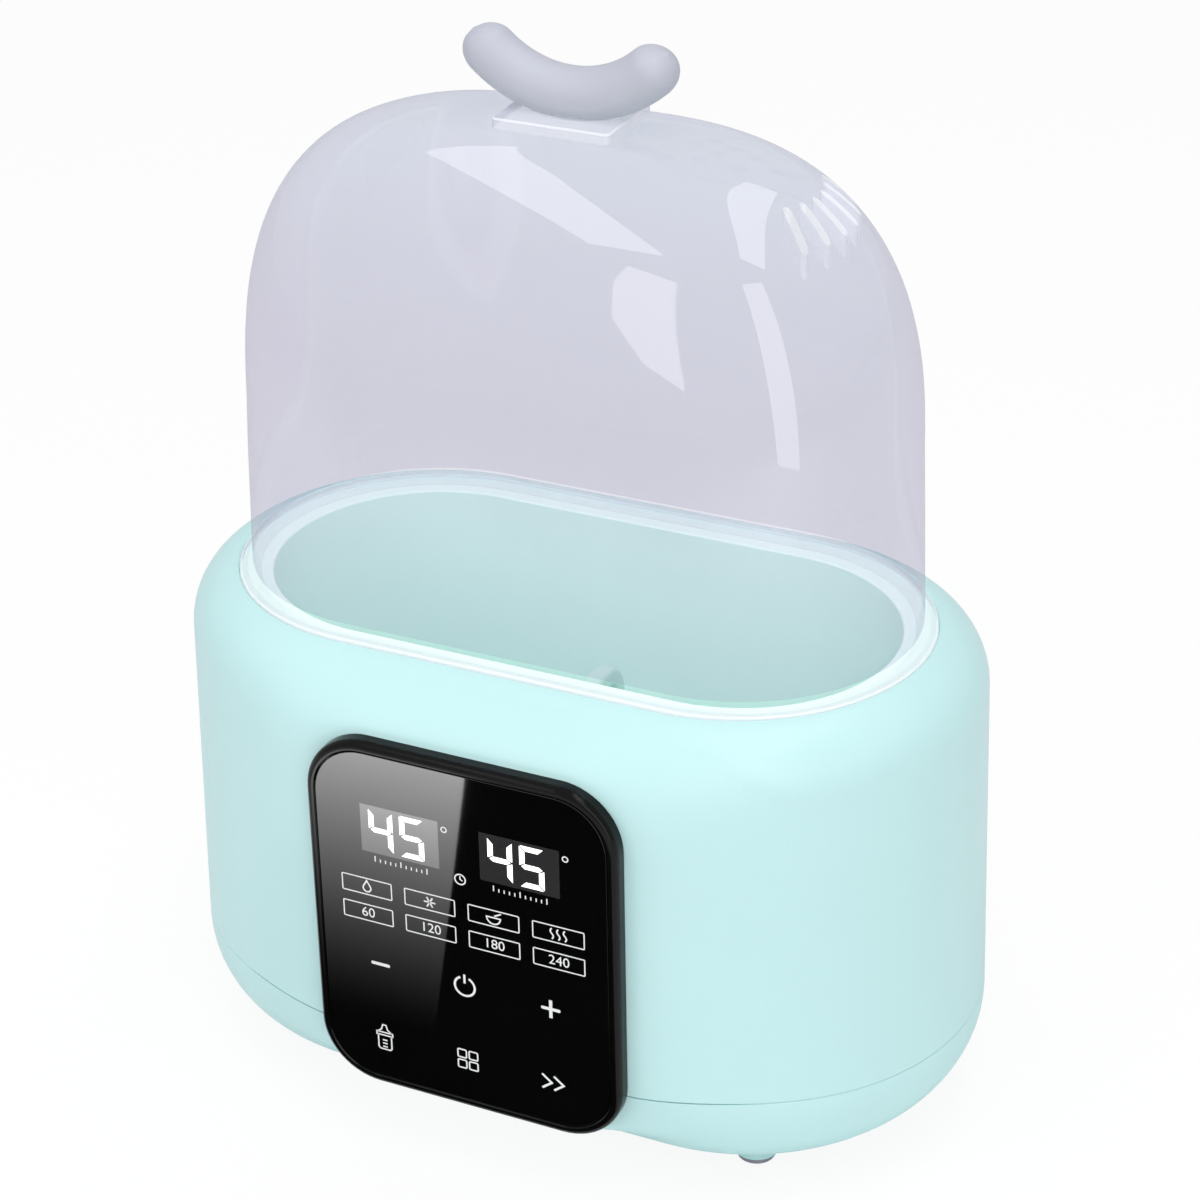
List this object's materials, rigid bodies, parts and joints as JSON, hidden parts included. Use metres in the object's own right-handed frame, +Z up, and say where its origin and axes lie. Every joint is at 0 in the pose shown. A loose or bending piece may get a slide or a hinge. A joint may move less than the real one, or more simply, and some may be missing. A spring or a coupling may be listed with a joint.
{
  "type": "double bottle warmer",
  "caption": "Oval countertop warmer with a heated water tank for two feeding bottles, a front touch panel, a tall translucent lid with a bar handle and a lift-out bottle tray.",
  "frame": {"origin": "on the table, under the middle of the oval body", "axes": "+Z up, +X along the body's long way towards the steam slots, -Y towards the control panel"},
  "size_m": [0.225, 0.1463, 0.2934],
  "materials": {
    "mint_plastic": "glossy pale mint moulding",
    "tank_plastic": "glossy pale mint moulding",
    "grey_rubber": "matte grey rubber",
    "silicone": "soft off-white silicone",
    "zinc_steel": "zinc plated",
    "tube_steel": "heat-darkened sheath",
    "cast_aluminium": "satin coated plate",
    "brass_parts": "plain brass",
    "circuit_board": "green solder mask",
    "dark_plastic": "matte black",
    "blue_plastic": "matte blue",
    "green_plastic": "matte green",
    "winding_tape": "yellow tape over windings",
    "wire_cover": "wire insulation",
    "ribbon_cover": "grey ribbon insulation",
    "white_nylon": "white nylon",
    "black_plastic": "polished black",
    "lens_plastic": "mirror-polished black lens",
    "display_resin": "white display resin",
    "touch_foam": "conductive foam",
    "clear_plastic": "smoky translucent moulding",
    "tray_plastic": "satin white"
  },
  "bodies": {
    "base": {"main_housing": "mint_plastic", "base_cover": "mint_plastic", "rubber_feet": "grey_rubber", "base_screws": "zinc_steel", "tank_liner": "tank_plastic", "tank_seal": "silicone", "heating_plate": "cast_aluminium", "heating_element": "tube_steel", "heater_clamp": "zinc_steel", "heater_screws": "zinc_steel", "thermostat": "dark_plastic", "thermal_fuse": "brass_parts", "ntc_sensor": "brass_parts", "power_board": "circuit_board", "board_screws": "zinc_steel", "relay": "blue_plastic", "transformer": "winding_tape", "filter_capacitor": "dark_plastic", "terminal_block": "green_plastic", "buzzer": "dark_plastic", "heater_leads": "wire_cover", "mains_leads": "wire_cover", "ribbon_cable": "ribbon_cover", "cord_gland": "white_nylon", "control_bezel": "black_plastic", "control_lens": "lens_plastic", "bezel_screws": "zinc_steel", "display_board": "circuit_board", "digit_display_left": "display_resin", "digit_display_right": "display_resin", "touch_pads": "touch_foam"},
    "lid": {"lid": "clear_plastic", "lid_handle": "clear_plastic"},
    "tray": {"bottle_tray": "tray_plastic"}
  },
  "joints": [
    {"name": "lid_lift", "type": "slide", "parent": "base", "child": "lid", "axis": [0, 0, 1], "range_m": [0, 0.16]},
    {"name": "tray_lift", "type": "slide", "parent": "base", "child": "tray", "axis": [0, 0, 1], "range_m": [0, 0.085]}
  ]
}
